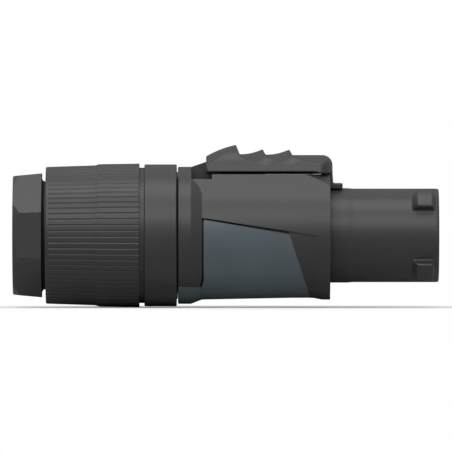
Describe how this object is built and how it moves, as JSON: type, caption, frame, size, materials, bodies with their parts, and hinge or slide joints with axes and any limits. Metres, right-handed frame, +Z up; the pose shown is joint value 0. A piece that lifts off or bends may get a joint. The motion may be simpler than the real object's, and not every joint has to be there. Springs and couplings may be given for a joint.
{
  "type": "locking power connector",
  "caption": "Locking power cable connector: bayonet nose with blade sockets, sprung thumb slider with a locking tongue, let-in lower shell, and a ribbed screw-on bushing that clamps the cable.",
  "frame": {"origin": "on the connector's axis, in the plane of the housing's front face, where the nose starts", "axes": "+X along the axis towards the nose's open end, +Z up to the locking slider, so -Y is the side that the picture shows"},
  "size_m": [0.0851, 0.0286, 0.0324],
  "materials": {
    "black_plastic": "fine moulded texture",
    "blue_grey_plastic": "fine moulded texture",
    "insulator": "satin",
    "chuck_plastic": "satin",
    "rubber": "matt",
    "contact_brass": "silver plated",
    "steel": "zinc plated"
  },
  "bodies": {
    "housing": {"main_housing": "black_plastic", "lower_shell": "blue_grey_plastic", "slider_spring": "steel", "nose_shell": "black_plastic", "insert_seal": "rubber", "contact_carrier": "insulator", "terminal_block": "insulator", "thread_o_ring": "rubber", "earth_contact": "contact_brass", "line_contact": "contact_brass", "neutral_contact": "contact_brass", "earth_terminal_screw": "steel", "line_terminal_screw": "steel", "neutral_terminal_screw": "steel", "earth_wire_clamp": "steel", "line_wire_clamp": "steel", "neutral_wire_clamp": "steel"},
    "slider": {"locking_slider": "black_plastic"},
    "chuck": {"chuck": "chuck_plastic", "cable_seal": "rubber"},
    "bushing": {"bushing": "black_plastic"}
  },
  "joints": [
    {"name": "slider_slide", "type": "slide", "parent": "housing", "child": "slider", "axis": [-1, 0, 0], "range_m": [0, 0.0027], "stiffness_N_per_m": 500, "springref_m": -0.006, "deforming": ["slider_spring"]},
    {"name": "chuck_slide", "type": "slide", "parent": "housing", "child": "chuck", "axis": [-1, 0, 0], "range_m": [0, 0.006]},
    {"name": "bushing_turn", "type": "hinge", "parent": "chuck", "child": "bushing", "pos_m": [-0.045, 0, 0], "axis": [-1, 0, 0], "range_deg": [0, 1080]}
  ],
  "couplings": [
    {"joint": "chuck_slide", "follows": "bushing_turn", "m_per_rad": 0.0003183}
  ]
}
